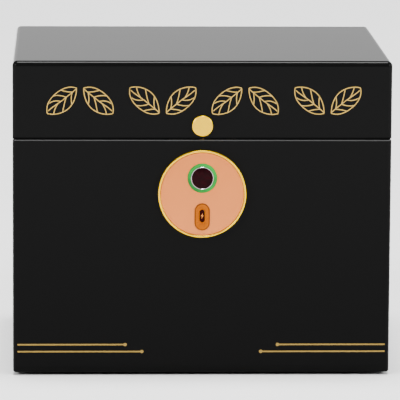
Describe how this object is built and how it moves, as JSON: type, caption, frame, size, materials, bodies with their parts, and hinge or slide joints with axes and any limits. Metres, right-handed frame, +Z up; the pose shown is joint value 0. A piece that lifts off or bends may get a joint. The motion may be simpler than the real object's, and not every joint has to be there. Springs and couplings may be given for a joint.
{
  "type": "humidor",
  "caption": "Tall lacquered desk humidor with a hinged lid, cedar lining, lift-out tray and a round fingerprint lock on its front.",
  "frame": {"origin": "middle of the footprint, on the surface that the foot pads stand on", "axes": "+X to the right seen from the front, +Y from the front to the hinges, +Z up"},
  "size_m": [0.25, 0.2182, 0.21],
  "materials": {
    "lacquer": "black lacquer, polished",
    "base_board": "black satin board",
    "felt": "black felt",
    "cedar": "bare planed cedar",
    "polished_brass": "polished brass",
    "screw_brass": "brass screws",
    "gilt": "gilt inlay",
    "face_enamel": "satin peach enamel",
    "green_light": "lit green light guide",
    "silver_trim": "bright steel rim",
    "sensor_glass": "dark maroon window",
    "port_orange": "orange satin surround",
    "socket_steel": "plain steel",
    "plug_rubber": "soft dark rubber",
    "case_metal": "black coated metal",
    "case_screws": "plain steel screws",
    "motor": "plain steel",
    "board": "green circuit board",
    "cell": "grey pouch cell",
    "humidifier_shell": "black satin plastic",
    "foam": "green floral foam",
    "meter_shell": "ivory dial and case",
    "meter_glass": "clear glass",
    "needle": "black hand"
  },
  "bodies": {
    "chest": {"front_wall": "lacquer", "back_wall": "lacquer", "left_wall": "lacquer", "right_wall": "lacquer", "base_panel": "base_board", "foot_pads": "felt", "cedar_floor": "cedar", "cedar_front": "cedar", "cedar_back": "cedar", "cedar_left": "cedar", "cedar_right": "cedar", "tray_rails": "cedar", "lock_bezel": "polished_brass", "hinge_chest_leaves": "polished_brass", "hinge_pins": "polished_brass", "lock_faceplate": "polished_brass", "chest_screws": "screw_brass", "line_inlay": "gilt", "lock_face": "face_enamel", "led_ring": "green_light", "sensor_rim": "silver_trim", "sensor_lens": "sensor_glass", "port_bezel": "port_orange", "usb_socket": "socket_steel", "lock_case": "case_metal", "lock_cover": "case_metal", "lock_cover_screws": "case_screws", "lock_motor": "motor", "circuit_board": "board", "battery": "cell"},
    "lid": {"leaf_inlay": "gilt", "lid_front": "lacquer", "lid_back": "lacquer", "lid_left": "lacquer", "lid_right": "lacquer", "lid_panel": "lacquer", "lid_cedar_top": "cedar", "lid_cedar_front": "cedar", "lid_cedar_back": "cedar", "lid_cedar_left": "cedar", "lid_cedar_right": "cedar", "knob": "polished_brass", "knob_screw": "screw_brass", "strike_plate": "polished_brass", "lid_screws": "screw_brass", "hinge_lid_leaves": "polished_brass", "humidifier_case": "humidifier_shell", "humidifier_foam": "foam", "humidifier_grille": "humidifier_shell", "hygrometer_case": "meter_shell", "hygrometer_rim": "polished_brass", "hygrometer_glass": "meter_glass"},
    "bolt": {"lock_bolt": "socket_steel"},
    "pinion": {"lock_pinion": "polished_brass"},
    "tray": {"tray_frame": "cedar", "tray_floor": "cedar"},
    "divider": {"tray_divider": "cedar"},
    "plug": {"port_plug": "plug_rubber"},
    "needle": {"hygrometer_needle": "needle"}
  },
  "joints": [
    {"name": "lid_hinge", "type": "hinge", "parent": "chest", "child": "lid", "pos_m": [0, 0.1061, 0.1582], "axis": [-1, 0, 0], "range_deg": [0, 95]},
    {"name": "bolt_slide", "type": "slide", "parent": "chest", "child": "bolt", "axis": [-1, 0, 0], "range_m": [0, 0.006]},
    {"name": "pinion_turn", "type": "hinge", "parent": "chest", "child": "pinion", "pos_m": [0.0162, -0.0959, 0.1514], "axis": [0, 0, 1], "range_deg": [0, 77]},
    {"name": "tray_lift", "type": "slide", "parent": "chest", "child": "tray", "axis": [0, 0, 1], "range_m": [0, 0.015]},
    {"name": "divider_slide", "type": "slide", "parent": "tray", "child": "divider", "axis": [1, 0, 0], "range_m": [-0.095, 0.095]},
    {"name": "plug_pull", "type": "slide", "parent": "chest", "child": "plug", "axis": [0, -1, 0], "range_m": [0, 0.01]},
    {"name": "needle_turn", "type": "hinge", "parent": "lid", "child": "needle", "pos_m": [0.058, -0.0009, 0.189], "axis": [0, 0, 1], "range_deg": [-174, 66]}
  ],
  "couplings": [
    {"joint": "pinion_turn", "follows": "bolt_slide", "rad_per_m": 222.22}
  ]
}
